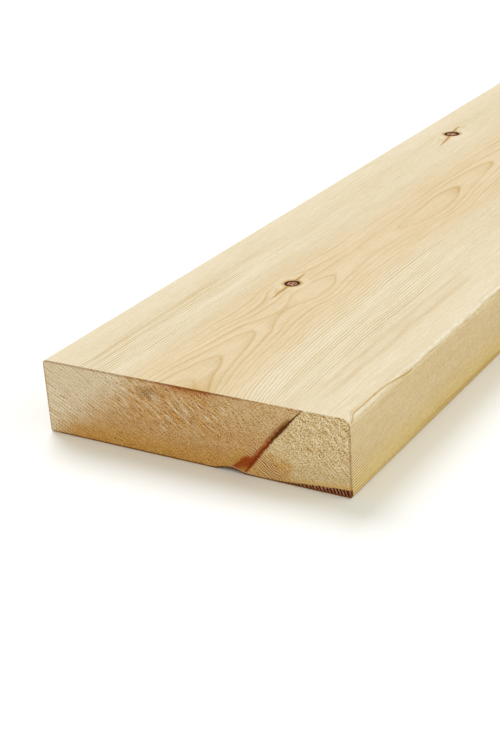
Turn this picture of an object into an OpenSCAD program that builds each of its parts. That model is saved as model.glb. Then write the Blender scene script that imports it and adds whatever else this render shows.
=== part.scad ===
// Planed softwood plank with eased edges, lying flat on its wide face.
// X runs along the length, Y across the width and Z up through the thickness.
// The origin is under the middle of the plank, on the surface that it lies on.

/* [Section] */
// Width of the wide faces, edge to edge
plank_width = 195; // [120:1:300]
// Thickness between the wide faces
plank_thickness = 45; // [25:1:100]

/* [Length] */
// Length between the two sawn ends
plank_length = 2400; // [300:1:6000]

/* [Long edges] */
// Easing radius of the upper edge on the -Y side, the most worn one
arris_top_right_r = 4; // [0.5:0.5:10]
// Easing radius of the upper edge on the +Y side
arris_top_left_r = 2.5; // [0.5:0.5:10]
// Easing radius of the lower edge on the -Y side
arris_bottom_right_r = 2; // [0.5:0.5:10]
// Easing radius of the lower edge on the +Y side
arris_bottom_left_r = 2; // [0.5:0.5:10]

/* [Dent at the -X end] */
// Width of the dent in the lower edge of the end face
dent_width = 18; // [6:0.5:40]
// Height of the dent above the underside
dent_height = 2; // [0.5:0.1:3]
// Place of the dent's middle along Y, measured from the plank's centre line
dent_y = -23.5; // [-35:0.5:35]

/* [Hidden] */

$fn = 64;

// Radius of a ball that leaves a dent of the given width and height
dent_r = (dent_width * dent_width / 4 + dent_height * dent_height) / (2 * dent_height);

// Outline of the section, standing on Y = 0 and centred on X.
// Straight sides run from arc to arc, and a disc in each corner rounds it.
module section() {
    half = plank_width / 2;
    top = plank_thickness;
    polygon([
        [-half + arris_bottom_right_r, 0],
        [half - arris_bottom_left_r, 0],
        [half, arris_bottom_left_r],
        [half, top - arris_top_left_r],
        [half - arris_top_left_r, top],
        [-half + arris_top_right_r, top],
        [-half, top - arris_top_right_r],
        [-half, arris_bottom_right_r]
    ]);
    corner_disc(-half, 0, arris_bottom_right_r);
    corner_disc(half, 0, arris_bottom_left_r);
    corner_disc(half, top, arris_top_left_r);
    corner_disc(-half, top, arris_top_right_r);
}

// Disc of radius r that touches both sides which meet at the corner (x, y)
module corner_disc(x, y, r) {
    translate([x - sign(x) * r, y == 0 ? r : y - r])
        circle(r = r);
}

// Shallow scoop in the lower edge of the -X end face
module dent() {
    translate([-plank_length / 2, dent_y, dent_height - dent_r])
        sphere(r = dent_r);
}

module plank() {
    color([0.87, 0.76, 0.57])
        difference() {
            translate([-plank_length / 2, 0, 0])
                rotate([90, 0, 90])
                    linear_extrude(height = plank_length)
                        section();
            dent();
        }
}

plank();
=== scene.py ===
"""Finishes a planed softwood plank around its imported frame: the timber and its studio stage."""
import math

import bpy
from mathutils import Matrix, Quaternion, Vector


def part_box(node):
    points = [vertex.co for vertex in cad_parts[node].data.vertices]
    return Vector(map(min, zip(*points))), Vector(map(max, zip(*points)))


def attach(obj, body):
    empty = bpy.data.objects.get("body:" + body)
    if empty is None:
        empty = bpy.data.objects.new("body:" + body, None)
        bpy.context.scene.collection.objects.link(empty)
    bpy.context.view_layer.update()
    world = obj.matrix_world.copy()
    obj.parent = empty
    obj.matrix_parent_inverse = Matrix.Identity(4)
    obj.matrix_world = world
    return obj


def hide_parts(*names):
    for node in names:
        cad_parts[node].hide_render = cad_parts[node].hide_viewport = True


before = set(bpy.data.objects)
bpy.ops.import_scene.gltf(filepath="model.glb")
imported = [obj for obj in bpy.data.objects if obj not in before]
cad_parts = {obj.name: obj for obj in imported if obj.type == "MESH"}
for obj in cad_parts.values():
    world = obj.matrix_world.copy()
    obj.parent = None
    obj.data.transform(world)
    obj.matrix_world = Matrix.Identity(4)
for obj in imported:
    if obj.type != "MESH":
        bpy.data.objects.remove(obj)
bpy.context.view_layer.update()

bl_info = {
    "name": "Softwood Plank",
    "version": (1, 0, 0),
    "blender": (4, 5, 0),
    "location": "3D View > Sidebar > Plank",
    "description": "Builds a planed softwood plank with sawn ends and knots, and its studio",
    "category": "Add Mesh",
}

NODE = "plank"
BODY = "root"
PIECE = "plank_timber"
MM = 0.001

LOW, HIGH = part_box(NODE)
LENGTH, WIDTH, THICKNESS = HIGH - LOW


# ---------------------------------------------------------------- node maths

class Wire:
    """A socket of a node tree that adds Math nodes when it is used in an expression."""

    def __init__(self, graph, socket):
        self.graph = graph
        self.socket = socket

    def math(self, operation, *others):
        return self.graph.math(operation, self, *others)

    def __add__(self, other):
        return self.math("ADD", other)

    def __radd__(self, other):
        return self.graph.math("ADD", other, self)

    def __sub__(self, other):
        return self.math("SUBTRACT", other)

    def __rsub__(self, other):
        return self.graph.math("SUBTRACT", other, self)

    def __mul__(self, other):
        return self.math("MULTIPLY", other)

    def __rmul__(self, other):
        return self.graph.math("MULTIPLY", other, self)

    def __truediv__(self, other):
        return self.math("DIVIDE", other)

    def __rtruediv__(self, other):
        return self.graph.math("DIVIDE", other, self)

    def __neg__(self):
        return self.math("MULTIPLY", -1.0)

    def __abs__(self):
        return self.math("ABSOLUTE")

    def __lt__(self, other):
        return self.math("LESS_THAN", other)

    def __gt__(self, other):
        return self.math("GREATER_THAN", other)

    def root(self):
        return self.math("SQRT")

    def fraction(self):
        return self.math("FRACT")

    def stripes(self, reach):
        """1 halfway between whole numbers, falling off smoothly to both sides."""
        return self.fraction().bell(0.5, reach)

    def whole(self):
        return self.math("FLOOR")

    def at_least(self, other):
        return self.math("MAXIMUM", other)

    def at_most(self, other):
        return self.math("MINIMUM", other)

    def within(self, low, high):
        return self.at_least(low).at_most(high)

    def rise(self, low, high):
        """0 below low, 1 above high and a smooth step between."""
        step = self.graph.node("ShaderNodeMapRange", {"interpolation_type": "SMOOTHSTEP"},
                               {"Value": self, "From Min": low, "From Max": high})
        return Wire(self.graph, step.outputs[0])

    def bell(self, middle, reach):
        """1 at the middle, falling smoothly to about 0 at twice the reach on both sides."""
        share = (self - middle) / reach
        return (share * share * -1.0).math("EXPONENT")

    def band(self, low, high, soft):
        """1 between low and high, with soft edges of the given width."""
        half = soft / 2
        return self.rise(low - half, low + half) * (1 - self.rise(high - half, high + half))


class Graph:
    """Writes the nodes of one tree."""

    def __init__(self, tree):
        self.tree = tree

    def node(self, kind, settings=None, inputs=None):
        """Adds a node: its settings are set first, then the values or links of its sockets."""
        made = self.tree.nodes.new(kind)
        for name, value in (settings or {}).items():
            if name == "points":
                self.draw_curve(made.mapping, value)
            else:
                setattr(made, name, value)
        for key, value in (inputs or {}).items():
            self.feed(value, made.inputs[key])
        return made

    def draw_curve(self, mapping, points):
        curve = mapping.curves[0]
        for place, point in zip(points, curve.points[:]):
            point.location = place
        for place in points[2:]:
            curve.points.new(*place)
        mapping.update()

    def feed(self, value, socket):
        if isinstance(value, Wire):
            self.tree.links.new(value.socket, socket)
        else:
            socket.default_value = value

    def wire(self, kind, settings=None, inputs=None, output=0):
        return Wire(self, self.node(kind, settings, inputs).outputs[output])

    def math(self, operation, *values):
        return self.wire("ShaderNodeMath", {"operation": operation}, dict(enumerate(values)))

    def join(self, x, y, z):
        return self.wire("ShaderNodeCombineXYZ", None, {0: x, 1: y, 2: z})

    def split(self, vector):
        parts = self.node("ShaderNodeSeparateXYZ", None, {0: vector})
        return [Wire(self, socket) for socket in parts.outputs]

    def noise(self, x, y, z, detail=1.0, roughness=0.5):
        """Smooth noise between about -1 and 1."""
        fac = self.wire("ShaderNodeTexNoise", {"noise_dimensions": "3D"},
                        {"Vector": self.join(x, y, z), "Scale": 1.0, "Detail": detail,
                         "Roughness": roughness})
        return (fac - 0.5) * 2.6

    def mix(self, share, first, second, blend="MIX"):
        """Colour between first and second."""
        return self.wire("ShaderNodeMix", {"data_type": "RGBA", "blend_type": blend},
                         {0: share, 6: first, 7: second}, output=2)


def linear(red, green, blue):
    """Scene colour of a colour given in screen values from 0 to 255."""
    def channel(value):
        share = value / 255
        return share / 12.92 if share <= 0.04045 else ((share + 0.055) / 1.055) ** 2.4
    return (channel(red), channel(green), channel(blue))


# ---------------------------------------------------------------- what a user may change

def metres(name, description, default, low=0.0, high=10.0):
    return bpy.props.FloatProperty(name=name, description=description, default=default, min=low,
                                   max=high, unit="LENGTH", precision=4)


def colour(name, description, screen):
    return bpy.props.FloatVectorProperty(name=name, description=description,
                                         default=linear(*screen), min=0.0, max=1.0, size=3,
                                         subtype="COLOR")


class PlankSizes(bpy.types.PropertyGroup):
    """Sizes of the timber."""

    length: metres("Length", "Length between the sawn ends", LENGTH)
    width: metres("Width", "Width of the wide faces", WIDTH)
    thickness: metres("Thickness", "Thickness between the wide faces", THICKNESS)
    arris_top_right: metres("Top right arris", "Easing radius of the most worn edge", 4.0 * MM)
    arris_top_left: metres("Top left arris", "Easing radius of the upper left edge", 2.5 * MM)
    arris_low_right: metres("Bottom right arris", "Easing radius of the lower right edge", 2.0 * MM)
    arris_low_left: metres("Bottom left arris", "Easing radius of the lower left edge", 2.0 * MM)
    arris_wear: bpy.props.FloatProperty(
        name="Arris wear", description="How much the easing radii change along the plank",
        default=0.22, min=0.0, max=0.5, subtype="FACTOR")
    end_ease: metres("End easing", "Chamfer that handling leaves round the sawn ends", 0.35 * MM)
    dent_width: metres("Dent width", "Width of the dent in the near end's lower edge", 18.0 * MM)
    dent_height: metres("Dent height", "Height of the dent above the underside", 2.0 * MM)
    dent_place: bpy.props.FloatProperty(
        name="Dent place", description="Middle of the dent, from the centre line",
        default=-23.5 * MM, unit="LENGTH", precision=4)
    saw_depth: metres("Saw mark depth", "Depth of the saw's widest marks on the ends", 0.16 * MM)
    knot_sink: metres("Knot sink", "How far the knots lie below the planed face", 0.25 * MM)
    seed: bpy.props.IntProperty(
        name="Seed", description="Seed of the wear and the saw marks", default=7)


class PlankFinish(bpy.types.PropertyGroup):
    """Colours and figure of the timber."""

    ring: metres("Ring width", "Width of one year's growth", 1.9 * MM)
    sapwood: colour("Sapwood", "Pale outer wood", (218, 203, 177))
    heartwood: colour("Heartwood", "Pinkish wood of the middle band", (216, 196, 165))
    # The latewood colour is also painted as shade low on the narrow faces.
    latewood: colour("Latewood", "Dark line at the end of each year", (186, 148, 78))
    edge_wood: colour("Edge wood", "Straw wood of the narrow faces", (208, 187, 148))
    edge_low: colour("Lower edge wood", "Yellower wood low on the narrow faces", (213, 189, 134))
    end_pale: colour("Pale end grain", "Greyish end grain at the upper left", (214, 196, 168))
    end_brown: colour("Brown end grain", "Ochre end grain of the middle", (194, 155, 108))
    end_deep: colour("Deep end grain", "Brownest end grain, low in the middle", (200, 150, 74))
    end_straw: colour("Straw end grain", "End grain on the right of the resin", (214, 191, 151))
    end_ochre: colour("Ochre end grain", "Yellow glow over the plum band", (216, 172, 90))
    # The end line colour is also painted as shade along the lower edge of the ends.
    end_line: colour("End line", "Dark ring and saw lines of the ends", (128, 76, 30))
    # The resin colour is also painted as shade inside the near end's dent.
    resin: colour("Resin", "Dark resin in the streak", (92, 44, 16))
    rust: colour("Rust", "Red resin stain at the foot of the streak", (158, 70, 26))
    plum: colour("Plum", "Dark band along the lower right edge", (76, 27, 12))
    scratch: colour("Scratch", "Pale scratches over the dark band", (214, 158, 132))
    check: colour("Check", "Golden brown of the checks beside a knot", (174, 126, 50))
    knot_rim: colour("Knot rim", "Nearly black bark round a knot", (50, 15, 2))
    knot_core: colour("Knot core", "Pinkish wood inside a knot", (230, 174, 142))
    roughness: bpy.props.FloatProperty(
        name="Roughness", description="Roughness of the planed faces", default=0.6,
        min=0.0, max=1.0, subtype="FACTOR")


class StudioLook(bpy.types.PropertyGroup):
    """Camera, light and floor."""

    azimuth: bpy.props.FloatProperty(
        name="Azimuth", description="Heading of the view, turned left from the plank's length",
        default=math.radians(32.419), subtype="ANGLE")
    elevation: bpy.props.FloatProperty(
        name="Elevation", description="How far the view looks down", default=math.radians(24.267),
        subtype="ANGLE")
    roll: bpy.props.FloatProperty(
        name="Roll", description="Tilt of the view to the right", default=math.radians(-4.004),
        subtype="ANGLE")
    distance: metres("Distance", "From the camera to the top face", 0.7966)
    aim_along: metres("Aim along", "Middle of the view, from the near end", 27.9 * MM)
    aim_across: metres("Aim across", "Middle of the view, right of the centre line", 22.8 * MM)
    lens: bpy.props.FloatProperty(
        name="Lens", description="Focal length", default=70.97, min=10.0, max=300.0, unit="CAMERA")
    sky: bpy.props.FloatProperty(
        name="Sky", description="Strength of the light from all round", default=0.53,
        min=0.0, max=5.0)
    key: bpy.props.FloatProperty(
        name="Key light", description="Strength of the soft light from behind", default=2.04,
        min=0.0, max=20.0)
    side: bpy.props.FloatProperty(
        name="Side light", description="Strength of the soft light from the right", default=0.72,
        min=0.0, max=20.0)
    fill: bpy.props.FloatProperty(
        name="Fill light", description="Strength of the soft light from the front", default=0.55,
        min=0.0, max=20.0)
    key_tint: colour("Key tint", "Colour of the soft light from behind", (240, 244, 255))
    sky_tint: colour("Sky tint", "Colour of the light from all round", (255, 252, 222))
    floor: colour("Floor", "Colour of the floor", (247, 247, 251))


# ---------------------------------------------------------------- shape of the timber

# Knots of the upper face: distance from the near end, distance from the left edge and radius, in
# mm, and how far the checks beside the knot lean out of the plank's length.
TOP_KNOTS = ((157, 74, 5.1, 0.04), (503, 29.5, 6.4, 0.16), (905, 121, 8.0, 0.05),
             (1290, 62, 6.5, -0.06), (1640, 140, 5.0, 0.08), (1985, 88, 9.0, 0.03),
             (2240, 40, 5.5, -0.1))
# Knots of the underside, laid out in the same way.
UNDER_KNOTS = ((310, 118, 7.0, 0.05), (980, 66, 9.0, -0.04), (1560, 130, 6.0, 0.1),
               (2110, 50, 8.0, 0.0))

# Resin streak on the near end: its distance from the left edge is a curve of the height, in mm.
STREAK_FOOT = 129.5
STREAK_LEAN = 0.72
STREAK_CURVE = 0.0028

# Arbor of the saw that cut the ends: how far left of the plank and below it, in mm.
SAW_ASIDE = 181
SAW_BELOW = 353

# Share of the lattice box, from its middle, past which a point lies on its outer face.
OUTER = 0.4999
# Length over which the wear of an edge changes, and height at which the dent's push has died out.
WEAR_SPAN = 60 * MM
DENT_REACH = 9 * MM


def streak_across(up):
    """Distance of the resin streak from the left edge at a height, both in mm."""
    return up * up * STREAK_CURVE + up * STREAK_LEAN + STREAK_FOOT


def stations(index, zones):
    """Place of lattice line number index, where zones lists (cells, place at which they end)."""
    place = 0
    first = 0
    start = 0
    for cells, end in zones:
        step = (end - start) / cells
        place = (index - first).within(0, cells) * step + place
        first = first + cells
        start = end
    return place


def lattice(length, width, thickness):
    """Zones of cells along, across and up: fine at the ends, the knots and the eased edges."""
    fine = 4.4 * MM
    along = ((2, 0.8 * MM), (8, 6 * MM), (12, 36 * MM), (12, 146 * MM), (14, 168 * MM),
             (18, 490 * MM), (12, 516 * MM), (70, length - 6 * MM), (8, length - 0.8 * MM),
             (2, length))
    across = ((8, fine), (176, width - fine), (8, width))
    up = ((8, fine), (34, thickness - fine), (8, thickness))
    return along, across, up


def cell_count(zones):
    return sum(cells for cells, end in zones)


def eased(y, z, corner_y, corner_z, side_y, side_z, radius):
    """Moves points near one long edge so that the edge becomes an arc of the given radius."""
    over_y = ((y - corner_y) * side_y + radius).at_least(0)
    over_z = ((z - corner_z) * side_z + radius).at_least(0)
    reach = (over_y * over_y + over_z * over_z).root()
    shrink = over_y.at_least(over_z) / reach - 1
    return y + over_y * shrink * side_y, z + over_z * shrink * side_z


def plank_tree(name):
    """Geometry Nodes tree of the timber: a lattice box shaped to the section and its wear."""
    tree = bpy.data.node_groups.new(name, "GeometryNodeTree")
    face = tree.interface
    for label in ("Length", "Width", "Thickness", "Top Right Radius", "Top Left Radius",
                  "Bottom Right Radius", "Bottom Left Radius", "Arris Wear", "End Easing",
                  "Dent Width", "Dent Height", "Dent Place", "Saw Mark Depth", "Knot Sink", "Seed"):
        face.new_socket(label, in_out="INPUT", socket_type="NodeSocketFloat")
    for label in ("Planed", "Sawn"):
        face.new_socket(label, in_out="INPUT", socket_type="NodeSocketMaterial")
    face.new_socket("Mesh", in_out="OUTPUT", socket_type="NodeSocketGeometry")
    g = Graph(tree)
    given = {s.name: Wire(g, s) for s in g.node("NodeGroupInput").outputs if s.name}

    length, width, thickness = given["Length"], given["Width"], given["Thickness"]
    zones = lattice(length, width, thickness)
    cells = [cell_count(z) for z in zones]
    box = g.node("GeometryNodeMeshCube", None,
                 {"Size": (1, 1, 1), "Vertices X": cells[0] + 1, "Vertices Y": cells[1] + 1,
                  "Vertices Z": cells[2] + 1})
    share = g.split(g.wire("GeometryNodeInputPosition"))
    along, across, up = [stations((s + 0.5) * n, z) for s, n, z in zip(share, cells, zones)]

    mesh = Wire(g, box.outputs[0])
    mesh = store_atlas(g, mesh, along, across, up, length, width, thickness)
    x, y, z = worn_shell(g, given, along, across, up, share)
    moved = g.wire("GeometryNodeSetPosition", None, {"Geometry": mesh, "Position": g.join(x, y, z)})
    angle = g.wire("GeometryNodeInputMeshEdgeAngle")
    smooth = g.wire("GeometryNodeSetShadeSmooth", {"domain": "FACE"},
                    {0: moved, "Shade Smooth": True})
    sharp = g.wire("GeometryNodeSetShadeSmooth", {"domain": "EDGE"},
                   {0: smooth, "Selection": angle > math.radians(32), "Shade Smooth": False})
    solid = g.wire("GeometryNodeRealizeInstances", None, {0: sharp})
    planed = g.wire("GeometryNodeSetMaterial", None,
                    {"Geometry": solid, "Material": given["Planed"]})
    on_end = abs(g.split(g.wire("GeometryNodeInputNormal"))[0]) > 0.5
    sawn = g.wire("GeometryNodeSetMaterial", None,
                  {"Geometry": planed, "Selection": on_end, "Material": given["Sawn"]})
    g.node("NodeGroupOutput", None, {0: sawn})
    return tree


def store_atlas(g, mesh, along, across, up, length, width, thickness):
    """Stores the unrolled long faces and, above them, the two enlarged ends as a UV map."""
    normal = g.wire("GeometryNodeFieldOnDomain", {"data_type": "FLOAT_VECTOR", "domain": "FACE"},
                    {0: g.wire("GeometryNodeInputNormal")})
    nx, ny, nz = g.split(normal)
    near, far = nx < -0.5, nx > 0.5
    right, left = ny < -0.5, ny > 0.5
    under, top = nz < -0.5, nz > 0.5
    margin, shell_height, end_width, end_foot, end_height = 0.008, 0.735, 0.476, 0.765, 0.225
    round_shell = (under * (width - across) + right * (width + up)
                   + top * (width + thickness + across) + left * (2 * (width + thickness) - up))
    u_shell = along / length * (1 - 2 * margin) + margin
    v_shell = round_shell / (2 * (width + thickness)) * shell_height + margin
    u_end = across / width * end_width + margin + far * 0.5
    v_end = up / thickness * end_height + end_foot
    end = near + far
    u = end * u_end + (1 - end) * u_shell
    v = end * v_end + (1 - end) * v_shell
    return g.wire("GeometryNodeStoreNamedAttribute", {"data_type": "FLOAT2", "domain": "CORNER"},
                  {"Geometry": mesh, "Name": "OFBake", "Value": g.join(u, v, 0)})


def worn_shell(g, given, along, across, up, share):
    """Places of the lattice points on the worn plank."""
    length, width, thickness = given["Length"], given["Width"], given["Thickness"]
    seed = given["Seed"]
    y = across - width / 2
    z = up
    sides = ((-1, 1, "Top Right Radius", 1.0), (1, 1, "Top Left Radius", 0.5),
             (-1, -1, "Bottom Right Radius", 0.5), (1, -1, "Bottom Left Radius", 0.5))
    for number, (side_y, side_z, label, wear) in enumerate(sides):
        drift = g.noise(along / WEAR_SPAN, seed, number * 5.0, detail=3.0)
        radius = given[label] * (drift * given["Arris Wear"] * wear + 1)
        corner_y = width / 2 * side_y
        corner_z = thickness * (1 if side_z > 0 else 0)
        y, z = eased(y, z, corner_y, corner_z, side_y, side_z, radius)

    near_end = share[0] < -OUTER
    far_end = share[0] > OUTER
    end = near_end + far_end
    ease = given["End Easing"] * end
    y = y.within(ease - width / 2, width / 2 - ease)
    z = z.within(ease, thickness - ease)

    from_left = (width / 2 - y) / MM
    height = z / MM
    marks = saw_relief(g, from_left, height, seed)
    groove = streak_relief(from_left, height)
    depth = given["Saw Mark Depth"]
    inward = end * marks * depth + near_end * groove * depth * 2
    x = along - length / 2 + near_end * inward - far_end * inward

    z = z + dent_lift(given, along, y, z)
    sink = knot_relief(along / MM, from_left) * given["Knot Sink"]
    return x, y, z - sink * (share[2] > OUTER)


def saw_relief(g, from_left, height, seed):
    """Depth of the saw's marks on an end, from 0 to 1: wide shallow arcs and a rough nap."""
    arc = saw_radius(from_left, height)
    swell = g.noise(arc / 5.5, seed, from_left / 90, detail=2.0)
    nap = g.noise(from_left / 1.8, height / 1.8, seed, detail=2.0)
    return (swell * 0.35 + nap * 0.2 + 0.5).within(0, 1)


def saw_radius(from_left, height):
    """Distance in mm from the saw's arbor, which lay below and to the left of the plank."""
    aside = from_left + SAW_ASIDE
    below = height + SAW_BELOW
    return (aside * aside + below * below).root()


def streak_relief(from_left, height):
    """Depth of the open resin streak, from 0 to 1."""
    return (from_left - streak_across(height)).bell(0, 0.9) * height.rise(4, 12)


def dent_lift(given, along, y, z):
    """How far points rise where a ball has dented the lower edge of the near end."""
    rise, half = given["Dent Height"], given["Dent Width"] / 2
    ball = (half * half + rise * rise) / (rise * 2)
    aside = y - given["Dent Place"]
    deep = (ball * ball - along * along - aside * aside).at_least(0).root() - ball + rise
    fade = (1 - z / DENT_REACH).at_least(0)
    return deep.at_least(0) * fade * fade


def knot_relief(along, from_left):
    """1 inside the knots of the upper face and 0 outside, with a soft wall."""
    total = 0
    for knot_along, knot_across, radius, _ in TOP_KNOTS:
        aside = from_left - knot_across
        ahead = along - knot_along
        distance = (aside * aside + ahead * ahead).root()
        total = (1 - distance.rise(radius * 0.7, radius * 1.25)) + total
    return total


# ---------------------------------------------------------------- look of the timber

# Height of the ring cone's ridge under the upper face, in rings, at distances from the near end in
# mm. Each whole number is the tip of one arch of the figure, and a hollow between two tips closes
# an oval.
RIDGE_SPAN = 560.0
RIDGE_RINGS = 6.0
RIDGE = ((0, -0.3), (10, 0.0), (43, 1.0), (81, 2.0), (118, 3.0), (150, 2.1), (179, 3.0),
         (225, 3.45), (275, 3.0), (325, 2.3), (372, 3.0), (438, 4.0), (500, 4.8), (560, 5.2))
# Rings between the cone's axis and its ridge's lowest place, and the figure's axis from the left
# edge, in mm.
FIRST_RING = 12.0
FIGURE_AXIS = 89.0

# Part of a year's growth at which its dark line stands.
YEAR_END = 0.84
# Width of one year's growth on the narrow faces, in mm.
EDGE_RING = 1.8
# How much more or less than green the red and the blue change when a colour is toned.
RED_TONE = 0.69
BLUE_TONE = 1.65

# Golden loop on the worn arris, and its inner line: places across and down the edge, in mm.
LOOP_LINE = 152.4
LOOP_INNER = 150.6

# Stretch of the length, in mm, over which the near end's own marks give way to the far end's.
NEAR_END_FADE = (900, 1500)
# Radius in mm at which an angle round the saw's arbor is turned into a length.
SWEEP_RADIUS = 480
# Spacing in mm of the saw lines, their cross hatch, the wavy lines and the scratches.
SAW_PITCH = 2.0
CROSS_PITCH = 1.9
WAVE_PITCH = 1.45
SCRATCH_PITCH = 1.9
# Left side of the rust-red flare at its foot and how far it leans for each mm of height, in mm.
FLARE_START = 117.5
FLARE_LEAN = 1.15
# Dent's middle from the left edge, the height of its top and its spread, in mm.
DENT_MIDDLE = 121
DENT_TOP = 2
DENT_SPREAD = 6.4
# Start of the plum band from the left edge, in mm, and the slope of its upper side.
PLUM_START = 141
PLUM_SLOPE = 0.092


def new_surface(name):
    """Empty material, its tree's writer, the place on the plank in mm and how far it faces up."""
    material = bpy.data.materials.new(name)
    material.use_nodes = True
    material.node_tree.nodes.clear()
    g = Graph(material.node_tree)
    at = g.node("ShaderNodeTexCoord")
    x, y, z = g.split(Wire(g, at.outputs["Object"]))
    place = ((x + LENGTH / 2) / MM, (WIDTH / 2 - y) / MM, z / MM)
    return material, g, place, g.split(Wire(g, at.outputs["Normal"]))[2]


def close_surface(g, colour, roughness, height):
    """Ends a material's tree in a matt wooden surface whose relief is given in mm."""
    bump = g.wire("ShaderNodeBump", None, {"Strength": 1.0, "Distance": MM, "Height": height})
    shader = g.wire("ShaderNodeBsdfPrincipled", None,
                    {"Base Color": colour, "Roughness": roughness, "Normal": bump,
                     "Specular IOR Level": 0.02})
    g.node("ShaderNodeOutputMaterial", None, {"Surface": shader})


def planed_material(finish):
    """Bare planed softwood of the long faces: figure, knots, fine fibres, painted shade in the near
    end's dent, and upper arrises painted paler, partly as wear and partly as a highlight.
    """
    material, g, (a, b, c), facing_up = new_surface("planed_softwood")
    fibre = g.noise(a / 34, b / 1.15, c / 1.15, detail=2.0, roughness=0.6)
    hair = g.noise(a / 12, b / 0.4, c / 0.4, detail=1.0)
    grit = g.noise(a / 2.6, b / 1.2, c / 1.2, detail=2.0, roughness=0.8)
    cloud = g.noise(a / 130, b / 16, c / 16, detail=2.0)
    wander = g.noise(a / 210, b / 45, c / 45, detail=2.0)

    top = wide_face(g, finish, a, b, wander, TOP_KNOTS, shown_front=True)
    under = wide_face(g, finish, a, WIDTH / MM - b, wander, UNDER_KNOTS, shown_front=False)
    edge = narrow_face(g, finish, a, b, c, wander)

    on_top = facing_up.rise(0.35, 0.8)
    on_under = (facing_up * -1).rise(0.35, 0.8)
    colour = g.mix(on_top, edge["colour"], top["colour"])
    colour = g.mix(on_under, colour, under["colour"])
    lines = between(on_under, between(on_top, edge["lines"], top["lines"]), under["lines"])
    tone = between(on_under, between(on_top, edge["tone"], top["tone"]), under["tone"])

    arris = facing_up.band(0.06, 0.9, 0.12)
    flat = 1 - on_top
    rough_edge = g.noise(a / 7, b / 1.6, c / 1.6, detail=2.0, roughness=0.7)
    tone = tone + fibre * (0.12 - flat * 0.05) + hair * 0.05
    tone = tone + grit * (flat * 0.09 + 0.11) + cloud * 0.06
    # Painted highlight and wear: the upper arrises are toned paler, partly for the real rough worn
    # edge and partly as a highlight where the rounded edge turns to the light.
    tone = tone + arris * (rough_edge * (a.rise(45, 85) * 0.25 + 0.08) + 0.18)
    surface = g.mix(lines.within(0, 1), colour, rgba(finish.latewood))
    surface = toned(g, surface, tone)
    surface = arris_loop(g, finish, surface, a, b, c)
    # Painted shade: the underside lifted by the near end's dent is painted dark with the resin
    # colour, standing for the shade inside the dent, not bark.
    bark = (1 - a.rise(3, 7)) * b.band(109, 133, 3) * (1 - c.rise(1.6, 2.6))
    surface = g.mix(bark * 0.85, surface, rgba(finish.resin))
    surface = knot_paint(g, finish, surface, top, on_top)
    surface = knot_paint(g, finish, surface, under, on_under)

    pits = top["pits"] * on_top + under["pits"] * on_under
    height = fibre * 0.03 + grit * 0.03 - lines * 0.05 + tone * 0.04
    height = height - pits * 0.25 + arris * rough_edge * 0.08
    close_surface(g, surface, pits * 0.2 + finish.roughness - lines * 0.06, height)
    return material


def sawn_material(finish):
    """Sawn end grain of both ends."""
    material, g, (a, b, c), _ = new_surface("sawn_softwood")
    end = end_face(g, finish, a, b, c)
    close_surface(g, end["colour"], end["tone"] * -0.1 + finish.roughness + 0.2, end["height"])
    return material


def rgba(rgb, gain=1.0):
    """Opaque colour made darker or lighter by a gain."""
    return (rgb[0] * gain, rgb[1] * gain, rgb[2] * gain, 1.0)


def between(share, first, second):
    """Number between first and second."""
    return (second - first) * share + first


def toned(g, colour, tone):
    """The colour made lighter and paler, or darker and warmer, by a number around 0."""
    gains = g.wire("ShaderNodeCombineColor", None,
                   {0: tone * RED_TONE + 1, 1: tone + 1, 2: tone * BLUE_TONE + 1})
    return g.mix(1.0, colour, gains, blend="MULTIPLY")


def latewood(rings, soft=0.7, thin=0.4, reach=0.09):
    """Darkness of one year's growth: a slow rise to a line at each whole ring, and a sudden end."""
    part = (rings + YEAR_END).fraction()
    swell = part.rise(0.2, YEAR_END) * (1 - part.rise(YEAR_END, 1.0)) * soft
    return swell + part.bell(YEAR_END, reach) * thin


def flow_round_knots(g, a, b, knots):
    """Across-grain place with the grain flowing round each knot, distance in radii, and checks."""
    flow = b
    nearest = None
    checks = 0
    crook = g.noise(a / 9, 4.4, 0.0) * 0.8
    for along, across, radius, lean in knots:
        ahead = a - along
        aside = b - across
        stretched = ahead / 3.2
        spread = stretched * stretched + aside * aside + radius * radius * 0.5
        flow = flow - aside * (radius * radius * 1.7) / spread
        distance = (ahead * ahead + aside * aside).root() / radius
        nearest = distance if nearest is None else nearest.at_most(distance)
        taper = (1 - (ahead * -1 / (radius * 6.4)).at_least(ahead / (radius * 4.2))).at_least(0)
        line = ahead * lean + aside + crook
        checks = (line / (taper + 0.15)).bell(0, radius * 0.3) * taper.rise(0, 0.3) + checks
    return flow, nearest, checks


def shown_ridge(g, a):
    """Ring cone's ridge under the upper face, in rings, its axis in mm and the near stretch."""
    points = tuple((d / RIDGE_SPAN, (r + 1) / RIDGE_RINGS) for d, r in RIDGE)
    curve = g.wire("ShaderNodeFloatCurve", {"points": points}, {"Value": a / RIDGE_SPAN})
    beyond = a.rise(480, 760)
    near = 1 - a.rise(150, 340)
    ridge = curve * RIDGE_RINGS - 1 + beyond * g.noise(a / 420, 3.7, 0.0) * 3.2
    axis = beyond * g.noise(a / 600, 9.1, 0.0) * 14 + a.bell(322, 42) * 4 + FIGURE_AXIS
    return ridge, axis, near


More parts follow.
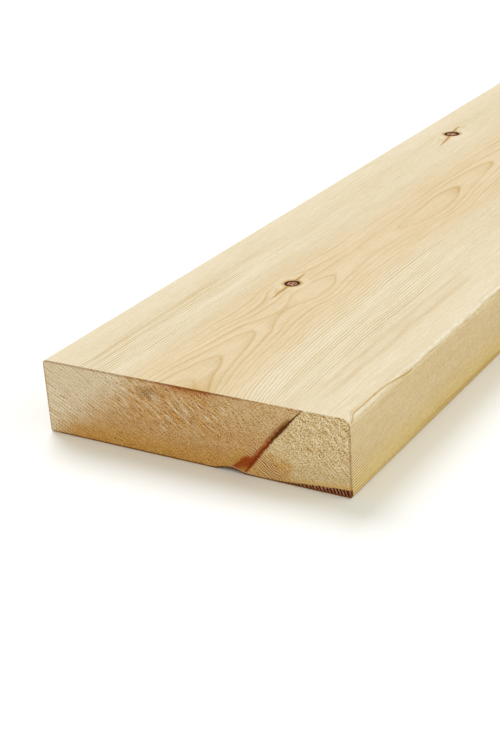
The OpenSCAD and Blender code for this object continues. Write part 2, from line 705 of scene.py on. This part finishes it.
def wide_face(g, finish, a, b, wander, knots, shown_front):
    """Figure of a wide face: arches over the ring cone's ridge and close lines beside them."""
    flow, nearest, checks = flow_round_knots(g, a, b, knots)
    side = 0.0 if shown_front else 31.0
    wobble = g.noise(a / 36, b / 13, side, detail=2.0)
    place = flow + wander * 1.6 + wobble * 1.1
    if shown_front:
        place = place - (-a / 40).math("EXPONENT") * b.band(92, 158, 44) * 10.0
        ridge, axis, near = shown_ridge(g, a)
    else:
        near = a * 0 + 0.3
        ridge = g.noise(a / 380, 8.3, 0.0) * 3.6 + 3
        axis = g.noise(a / 600, 2.6, 0.0) * 18 + 104
    aside = place - axis
    ring = finish.ring / MM
    under = (ridge + FIRST_RING) * ring
    out = (aside * aside + under * under).root()
    rings = out / ring
    steep = ((aside * aside) / (out * out) + 0.003).root()
    count = (rings + 0.5).whole() + side
    strength = g.wire("ShaderNodeTexWhiteNoise", {"noise_dimensions": "1D"}, {"W": count})
    heart = (place + wander * 4).band(60, 122, 22)
    dense = place.band(24, 53, 8) + place.band(120, 157, 10) * 0.7
    patchy = (g.noise(a / 90, b / 9, side + 4, detail=1.0) * 0.6 + 0.85).within(0.2, 1.4)
    profile = latewood(rings, 0.42, 0.62, (steep * 0.45).within(0.035, 0.14))
    year = profile * (strength * 0.7 + 0.5) * patchy
    lines = year * (heart * 0.25 + 0.06)
    tone = (0.2 - year) * (dense * (near * 0.41 + 0.08) + 0.07)
    tone = tone + (1 - b.rise(10, 24)) * 0.05 + b.rise(168, 180) * 0.04
    if shown_front:
        ochre = (place.bell(27.5, 1.3) + place.bell(32.5, 1.1)) * (1 - a.rise(135, 180)) * 0.42
        ochre = ochre + (place.bell(162, 1.4) + place.bell(170, 1.8)) * a.band(25, 210, 40) * 0.34
        stain = (-a / 16).math("EXPONENT") * b.bell(104, 9) * 0.5
        fade = a.bell(288, 26) * aside.bell(0, 12) * 0.5 + a.band(205, 350, 60) * 0.42
        tips = profile * (1 - steep.rise(0.08, 0.3))
        tips = tips * (a.band(355, 460, 30) * 0.22 + a.band(20, 100, 20) * 0.06)
        lines = lines * (1 - fade) + tips + ochre * (patchy * 0.5 + 0.2) + stain * 1.3
    halo = nearest.band(1.3, 2.3, 0.7)
    lines = lines * (1 - halo * 0.6) + (1 - nearest.rise(1.0, 1.5)) * 0.5
    tone = tone + halo * 0.04
    colour = g.mix(heart, rgba(finish.sapwood), rgba(finish.heartwood))
    return {"colour": colour, "lines": lines, "tone": tone, "nearest": nearest, "checks": checks,
            "pits": 1 - nearest.rise(0.6, 1.1), "ahead": a, "aside": b}


def knot_paint(g, finish, colour, face, shown):
    """Paints each knot's bark rim and core, the stain round it and the checks beside it."""
    fuzz = g.noise(face["ahead"] / 2.4, face["aside"] / 1.5, 5.0, detail=2.0, roughness=0.8)
    distance = face["nearest"] + fuzz * 0.1
    stain = distance.bell(1.14, 0.15) * (fuzz + 0.6).within(0.1, 1) * shown
    colour = g.mix(stain * 0.6, colour, rgba(finish.check))
    checks = face["checks"] * distance.rise(0.8, 1.2) * shown
    cracked = (checks * 0.85 + checks * fuzz * 0.4).within(0, 1)
    colour = g.mix(cracked, colour, rgba(finish.check))
    body = (1 - distance.rise(0.9, 1.06)) * shown
    speck = (fuzz * 3.0 + 0.45).within(0, 1) * (1 - distance.rise(0.45, 0.78))
    inside = g.mix(speck, rgba(finish.knot_rim), rgba(finish.knot_core))
    return g.mix(body, colour, inside)


def arris_loop(g, finish, colour, a, b, c):
    """Golden line that runs in a long loop over the worn arris near the near end."""
    shiver = g.noise(a / 14, 3.0, 7.0, detail=2.0)
    lift = a.rise(1, 10) * (1 - a.rise(36, 76))
    across = b - c + lift * 4.4 + shiver * 0.5
    inner = across.bell(LOOP_INNER, 0.45) * (1 - a.rise(8, 24))
    loop = (across.bell(LOOP_LINE, 0.7) + inner * 0.6) * b.rise(150, 170)
    strong = a.band(2, 74, 2) * (a.bell(64, 9) * 0.1 + a.bell(33, 1.2) * 0.4 + 0.85)
    share = ((a.rise(74, 90) * 0.2 + strong) * loop).within(0, 0.9)
    return g.mix(share, colour, rgba(finish.latewood))


def narrow_face(g, finish, a, b, c, wander):
    """Figure of a narrow face: fine level lines that fan out of the near end, and painted shade
    along its lower edge.
    """
    fan = (-a / 30).math("EXPONENT")
    rings = (c + fan * c * 0.16 + wander * 1.6) / EDGE_RING
    patch = (g.noise(a / 30, b / 30, c / 7, detail=1.0) * 2.0 + 0.1).within(0, 1)
    low = 1 - c.rise(3, 24)
    year = latewood(rings)
    front = (-a / 16).math("EXPONENT") * (1 - c.rise(22, 32))
    tone = (0.3 - year) * (front + patch * (low * 0.16 + 0.1) + 0.02)
    ochre = (c + wander * 2).bell(3.8, 1.0) * 0.4 + (c - wander).bell(1.4, 0.7) * 0.3
    ochre = ochre * a.rise(50, 110)
    stain = c.bell(30, 5) * g.noise(a / 22, 1.0, 6.0).rise(0.3, 0.8) * 0.1
    colour = g.mix(low, rgba(finish.edge_wood), rgba(finish.edge_low))
    # Painted shade: foot darkens the lowest few mm of the narrow faces, where the floor contact
    # shades them.
    foot = (1 - c.rise(2, 5)) * 0.3
    return {"colour": colour, "lines": ochre + stain + foot + year * 0.04, "tone": tone}


class EndMarks:
    """Place on a sawn end in mm, with the noises and zones that its tones and colours share."""

    def __init__(self, g, a, b, c):
        self.across = b
        self.up = c
        self.near = 1 - a.rise(*NEAR_END_FADE)
        side = self.near * 7
        self.arc = saw_radius(b, c)
        sweep = g.math("ARCTAN2", b + SAW_ASIDE, c + SAW_BELOW) * SWEEP_RADIUS
        self.sway = g.noise(b / 26, c / 26, side, detail=2.0)
        self.streaks = g.noise(self.arc / 2.0, sweep / 17, side + 3, detail=1.0)
        self.strands = g.noise(self.arc / 0.85, sweep / 5.5, side + 5, detail=1.0)
        self.grit = g.noise(b / 0.82, c / 0.82, side + 11, detail=1.0, roughness=0.7)
        self.blotch = g.noise(b / 10, c / 7, side + 13, detail=3.0)
        self.broken = g.noise(self.arc / 5, sweep / 16, side + 19, detail=1.0).rise(-0.3, 0.5)
        self.beside = b - streak_across(c)
        self.low_left = (1 - b.rise(24, 62)) * (1 - c.rise(14, 34))
        self.high_left = (1 - b.rise(30, 84)) * c.rise(14, 34)
        self.brushed = b.band(46, 126, 26) * c.rise(12, 26)
        self.corner = b.band(158, 230, 14) * c.rise(6, 28)


def saw_tone(g, m):
    """Lightness of the saw lines, cross hatch, wavy lines, strands and grit, and the crests."""
    b, c = m.across, m.up
    ruled = (m.arc / SAW_PITCH + m.sway * 0.8 + m.streaks * 0.4).stripes(0.16)
    cross = ((b * 0.96 - c * 0.28) / CROSS_PITCH + m.sway * 1.3 + m.streaks * 0.5).stripes(0.17)
    tone = 0.28 - ruled
    tone = tone * (m.low_left * 0.26 + m.broken * m.broken * 0.38 + m.high_left * 0.1 + 0.05)
    crossed = (0.35 - cross) * (m.broken * 0.7 + 0.3)
    tone = tone + crossed * (m.low_left * 0.36 + m.high_left * 0.2)
    down = b * 0.61 + c * 0.79
    ripple = down / WAVE_PITCH + g.noise(b / 6, c / 6, 2.0, detail=1.0) * 0.8
    waved = down.band(88.5, 99, 3) * (b * 0.79 - c * 0.61).band(96, 121, 8) * m.near
    crest = (ripple + 0.5).stripes(0.2) * waved
    tone = tone + (0.3 - ripple.stripes(0.2)) * waved * 1.2
    brush = m.brushed * 0.42 + m.corner * 0.3 + 0.34 - m.high_left * 0.16
    tone = tone + m.strands * brush + m.blotch * 0.1
    rough = m.corner * 0.4 + 0.95 - m.high_left * 0.5 - m.low_left * 0.5 - waved * 0.5
    tone = tone + m.grit * rough
    return tone - tone.at_least(0) * 0.3, crest


def end_wood(g, finish, m):
    """Colours of the bare end grain: brown low on the left, pale above it, straw on the right."""
    b, c, near, blotch = m.across, m.up, m.near, m.blotch
    brown = (b - c * 1.35 + blotch * 9 + m.streaks * 9).rise(-16, 28)
    colour = g.mix(brown, rgba(finish.end_pale), rgba(finish.end_brown))
    deep = (1 - c.rise(3, 17)) * (b + blotch * 10).band(12, 134, 16)
    colour = g.mix(deep * 0.7, colour, rgba(finish.end_deep))
    pale = m.streaks.rise(0.14, 0.4) * m.brushed * 0.6
    colour = g.mix(pale, colour, rgba(finish.end_pale))
    warm = (m.streaks * -1).rise(0.12, 0.4) * (m.brushed * 0.46 + 0.14)
    colour = g.mix(warm, colour, rgba(finish.end_deep, 0.9))
    light = b.band(116, 260, 14) * c.rise(20, 34) * 0.3
    right = (m.beside + m.strands).rise(-0.8, 1.0)
    straw = (right * 0.95 + light * (1 - right)) * near
    colour = g.mix(straw, colour, rgba(finish.end_straw))
    foot = (b + blotch * 4).band(126, 158, 12) * (1 - (c + blotch * 3).rise(8, 22)) * near
    colour = g.mix(foot * 0.7, colour, rgba(finish.end_deep))
    spot = (b + blotch * 5).bell(114, 6) * (c + blotch * 3).bell(19.5, 3) * near
    colour = g.mix(spot * 0.3, colour, rgba(finish.end_ochre, 0.8))
    blush = c.rise(40, 44.5) * (b + blotch * 10).band(84, 114, 14) * near
    return g.mix(blush * 0.6, colour, rgba(finish.rust))


def burnt_specks(g, finish, colour, m):
    """Dark specks that the saw burnt into the upper left of the near end."""
    burnt = (m.across + m.streaks * 4).bell(71, 7.5) * m.up.bell(37.5, 4.2)
    specks = (burnt + m.grit * 2.4 + m.strands * 0.6 - 0.8).rise(0, 0.4)
    share = specks * burnt.rise(0.2, 0.5) * m.near * 0.85
    return g.mix(share, colour, rgba(finish.end_line, 0.75))


def resin_streak(g, finish, colour, m):
    """Paints the resin streak, the stain along it and the flare at its foot, with its darkness."""
    b, c, near, beside, strands, grit = m.across, m.up, m.near, m.beside, m.strands, m.grit
    half = c.bell(31, 7) * 1.3 + c.bell(14, 9) * 0.8 + 0.3
    edge = abs(beside + strands * 0.9 + grit * 0.35)
    smoke = (1 - (abs(beside + 1.6) / (half + 1.8)).rise(0.1, 1.0)) * near
    smoke = smoke * (c.rise(20, 26) * (1 - c.rise(36, 41)))
    colour = g.mix((smoke * (strands + 0.9)).within(0, 0.8), colour, rgba(finish.end_line))
    tint = (1 - (abs(beside + strands + 0.7) / (half + 2.2)).rise(0.3, 1.0)) * near
    tint = tint * (1 - c.rise(22, 28))
    flare = 1 - (c + strands).rise(10, 14)
    flare = flare * (b - FLARE_START - c * FLARE_LEAN + strands * 1.6 + grit * 1.4).rise(0, 1.6)
    flare = flare * (1 - (beside + grit).rise(0.5, 2.5)) * near
    amber = (1 - (c + strands * 1.5 + grit).rise(2.5, 6.5)) * (b + grit).rise(124, 131)
    stained = g.mix(amber * 0.75, rgba(finish.rust, 0.92), rgba(finish.end_deep))
    colour = g.mix(tint * 0.8, colour, rgba(finish.rust))
    colour = g.mix((flare * (grit * 0.6 + 1.0)).within(0, 1), colour, stained)
    dark = g.mix((c + strands * 4).rise(14, 27), rgba(finish.rust, 0.7), rgba(finish.resin))
    thread = (1 - (edge / half).rise(0.6, 1.25)) * near
    return g.mix(thread * 0.95, colour, dark), thread


def plum_band(g, finish, colour, m):
    """Paints the dark band along the lower right edge, its pale scratches and the glow over it."""
    b, c, near, strands = m.across, m.up, m.near, m.strands
    above = c - (b - PLUM_START) * PLUM_SLOPE - strands * 0.8
    plum = (1 - above.rise(-0.4, 0.4)) * b.rise(137, 145) * near
    slant = (b * 0.89 + c * 0.46) / SCRATCH_PITCH
    hatch = (slant + m.sway * 1.6 + m.grit * 0.25).stripes(0.15)
    glow = (1 - above.rise(0, 4.5)) * b.rise(146, 170) * near * 0.66
    colour = g.mix(glow, colour, rgba(finish.end_ochre))
    colour = g.mix(plum, colour, rgba(finish.plum))
    scratched = hatch * plum * (strands * 0.7 + 0.75).within(0, 1)
    return g.mix(scratched, colour, rgba(finish.scratch))


def end_outline(g, finish, colour, m):
    """Paints the brown rim round a sawn end, painted shade along its lower edge and under the
    dent's arch, and the splinters of the dent.
    """
    b, c, near = m.across, m.up, m.near
    rim = g.math("MINIMUM", b.at_most(WIDTH / MM - b), c.at_most(THICKNESS / MM - c))
    line = (rim + m.strands * 0.3).band(-0.3, 1.1, 0.6)
    upper = c.rise(43, 44) * (b.band(84, 126, 40) * 0.32 - b.rise(126, 146) * 0.28)
    outline = line * (upper + 0.42)
    # Painted shade: base darkens the lowest mm of each end, where it meets the floor.
    contact_shade = (1 - (c + m.grit * 0.3).rise(0.5, 1.3)) * b.rise(4, 10) * (1 - b.bell(124, 7))
    colour = g.mix((outline + contact_shade * 0.6).within(0, 0.9), colour, rgba(finish.end_line))
    aside = (b - DENT_MIDDLE) / DENT_SPREAD
    notch = c - (DENT_TOP - aside * aside).at_least(0) + m.grit * 0.2
    # Painted shade: dark is a line under the dent's arch, standing for the shade inside the dent.
    dark = notch.bell(0.4, 0.55) * b.band(110, 134, 6) * near * 0.9
    colour = g.mix(dark, colour, rgba(finish.resin))
    torn = notch.bell(1.4, 0.3) * b.band(121, 137, 4) * near * 0.6
    return g.mix(torn, colour, rgba(finish.end_pale))


def end_face(g, finish, a, b, c):
    """Sawn end: toned wood with burnt specks, the resin streak, the plum band, and the rim with its
    painted shade along the lower edge and in the dent.
    """
    marks = EndMarks(g, a, b, c)
    tone, crest = saw_tone(g, marks)
    colour = end_wood(g, finish, marks)
    colour = g.mix(crest * 0.5, toned(g, colour, tone), rgba(finish.end_pale))
    colour = burnt_specks(g, finish, colour, marks)
    colour, thread = resin_streak(g, finish, colour, marks)
    colour = plum_band(g, finish, colour, marks)
    colour = end_outline(g, finish, colour, marks)
    return {"colour": colour, "tone": tone, "height": tone * 0.12 - thread * 0.2}


# ---------------------------------------------------------------- making pieces

def new_object(name, data):
    """Object in the scene that shows a mesh, a light or a camera."""
    made = bpy.data.objects.new(name, data)
    bpy.context.scene.collection.objects.link(made)
    return made


def grown_mesh(name, tree, values):
    """Plain mesh that a Geometry Nodes tree makes from the given input values."""
    holder = new_object(name + "_holder", bpy.data.meshes.new(name + "_seed"))
    modifier = holder.modifiers.new("Shape", "NODES")
    modifier.node_group = tree
    sockets = {s.name: s.identifier for s in tree.interface.items_tree if s.in_out == "INPUT"}
    for label, value in values.items():
        modifier[sockets[label]] = value
    bpy.context.view_layer.update()
    shaped = holder.evaluated_get(bpy.context.evaluated_depsgraph_get())
    mesh = bpy.data.meshes.new_from_object(shaped)
    holder.modifiers.remove(modifier)
    bpy.data.objects.remove(holder)
    mesh.name = name
    return mesh


class PLANK_OT_timber(bpy.types.Operator):
    """Build the plank: worn shell, sawn ends, figure, knots and resin"""

    bl_idname = "plank.timber"
    bl_label = "Timber"

    def execute(self, context):
        sizes = context.scene.plank_sizes
        finish = context.scene.plank_finish
        mesh = grown_mesh(PIECE, plank_tree("Worn plank"), {
            "Length": sizes.length,
            "Width": sizes.width,
            "Thickness": sizes.thickness,
            "Top Right Radius": sizes.arris_top_right,
            "Top Left Radius": sizes.arris_top_left,
            "Bottom Right Radius": sizes.arris_low_right,
            "Bottom Left Radius": sizes.arris_low_left,
            "Arris Wear": sizes.arris_wear,
            "End Easing": sizes.end_ease,
            "Dent Width": sizes.dent_width,
            "Dent Height": sizes.dent_height,
            "Dent Place": sizes.dent_place,
            "Saw Mark Depth": sizes.saw_depth,
            "Knot Sink": sizes.knot_sink,
            "Seed": float(sizes.seed),
            "Planed": planed_material(finish),
            "Sawn": sawn_material(finish),
        })
        if not mesh.polygons:
            raise RuntimeError("the plank's tree made no faces")
        plank = new_object(PIECE, mesh)
        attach(plank, BODY)
        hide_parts(NODE)
        return {"FINISHED"}


# ---------------------------------------------------------------- stage

# Half the width of the floor, in metres.
FLOOR_REACH = 40.0


def plain_material(name, rgb, roughness):
    material = bpy.data.materials.new(name)
    material.use_nodes = True
    tree = material.node_tree
    tree.nodes.clear()
    g = Graph(tree)
    shader = g.wire("ShaderNodeBsdfPrincipled", None,
                    {"Base Color": rgba(rgb), "Roughness": roughness, "Specular IOR Level": 0.1})
    g.node("ShaderNodeOutputMaterial", None, {"Surface": shader})
    return material


def direction(heading, height):
    """Unit vector at a heading round the upright axis and a height above level, in radians."""
    return Vector((math.cos(heading) * math.cos(height), math.sin(heading) * math.cos(height),
                   math.sin(height)))


def soft_sun(name, strength, spread, heading, height, tint=(1, 1, 1)):
    """Far soft light that comes from a heading and a height above the floor, in degrees."""
    lamp = bpy.data.lights.new(name, "SUN")
    lamp.energy = strength
    lamp.color = tint
    lamp.angle = math.radians(spread)
    come_from = direction(math.radians(heading), math.radians(height))
    new_object(name, lamp).rotation_euler = come_from.to_track_quat("Z", "Y").to_euler()


def studio_world(look):
    """Even light from all round, seen as plain white behind the floor."""
    world = bpy.data.worlds.new("studio")
    world.use_nodes = True
    world.node_tree.nodes.clear()
    g = Graph(world.node_tree)
    seen = Wire(g, g.node("ShaderNodeLightPath").outputs["Is Camera Ray"])
    strength = seen * (1 - look.sky) + look.sky
    tint = g.mix(seen, rgba(look.sky_tint), (1, 1, 1, 1))
    light = g.wire("ShaderNodeBackground", None, {"Color": tint, "Strength": strength})
    g.node("ShaderNodeOutputWorld", None, {"Surface": light})
    return world


class PLANK_OT_stage(bpy.types.Operator):
    """Lay the pale floor, set the soft lights and place the camera"""

    bl_idname = "plank.stage"
    bl_label = "Stage"

    def execute(self, context):
        look = context.scene.studio_look
        square = ((-1, -1), (1, -1), (1, 1), (-1, 1))
        corners = [(x * FLOOR_REACH, y * FLOOR_REACH, 0) for x, y in square]
        mesh = bpy.data.meshes.new("floor")
        mesh.from_pydata(corners, [], [(0, 1, 2, 3)])
        mesh.materials.append(plain_material("pale_floor", look.floor, roughness=0.9))
        new_object("floor", mesh)

        context.scene.world = studio_world(look)
        soft_sun("key", look.key, spread=32, heading=47, height=50, tint=look.key_tint)
        soft_sun("side", look.side, spread=50, heading=285, height=38)
        soft_sun("fill", look.fill, spread=80, heading=205, height=28)

        forward = direction(look.azimuth, -look.elevation)
        aim = Vector((LOW.x + look.aim_along, -look.aim_across, HIGH.z))
        lens = bpy.data.cameras.new("camera")
        lens.lens = look.lens
        lens.clip_end = 5 * FLOOR_REACH
        camera = new_object("camera", lens)
        camera.location = aim - forward * look.distance
        turn = forward.to_track_quat("-Z", "Y") @ Quaternion((0, 0, 1), look.roll)
        camera.rotation_euler = turn.to_euler()
        context.scene.camera = camera
        context.scene.view_settings.view_transform = "Standard"
        return {"FINISHED"}


class PLANK_PT_panel(bpy.types.Panel):
    """Lists the steps and the values that they use"""

    bl_idname = "PLANK_PT_panel"
    bl_label = "Softwood Plank"
    bl_space_type = "VIEW_3D"
    bl_region_type = "UI"
    bl_category = "Plank"

    def draw(self, context):
        layout = self.layout
        scene = context.scene
        for owner in (scene.plank_sizes, scene.plank_finish, scene.studio_look):
            column = layout.column(align=True)
            for name in owner.__annotations__:
                column.prop(owner, name)
        layout.operator("plank.timber")
        layout.operator("plank.stage")


CLASSES = (PlankSizes, PlankFinish, StudioLook, PLANK_OT_timber, PLANK_OT_stage, PLANK_PT_panel)


def register():
    for item in CLASSES:
        bpy.utils.register_class(item)
    bpy.types.Scene.plank_sizes = bpy.props.PointerProperty(type=PlankSizes)
    bpy.types.Scene.plank_finish = bpy.props.PointerProperty(type=PlankFinish)
    bpy.types.Scene.studio_look = bpy.props.PointerProperty(type=StudioLook)


def unregister():
    del bpy.types.Scene.studio_look
    del bpy.types.Scene.plank_finish
    del bpy.types.Scene.plank_sizes
    for item in reversed(CLASSES):
        bpy.utils.unregister_class(item)


def main():
    register()
    bpy.ops.plank.timber()
    bpy.ops.plank.stage()


if __name__ == "__main__":
    main()
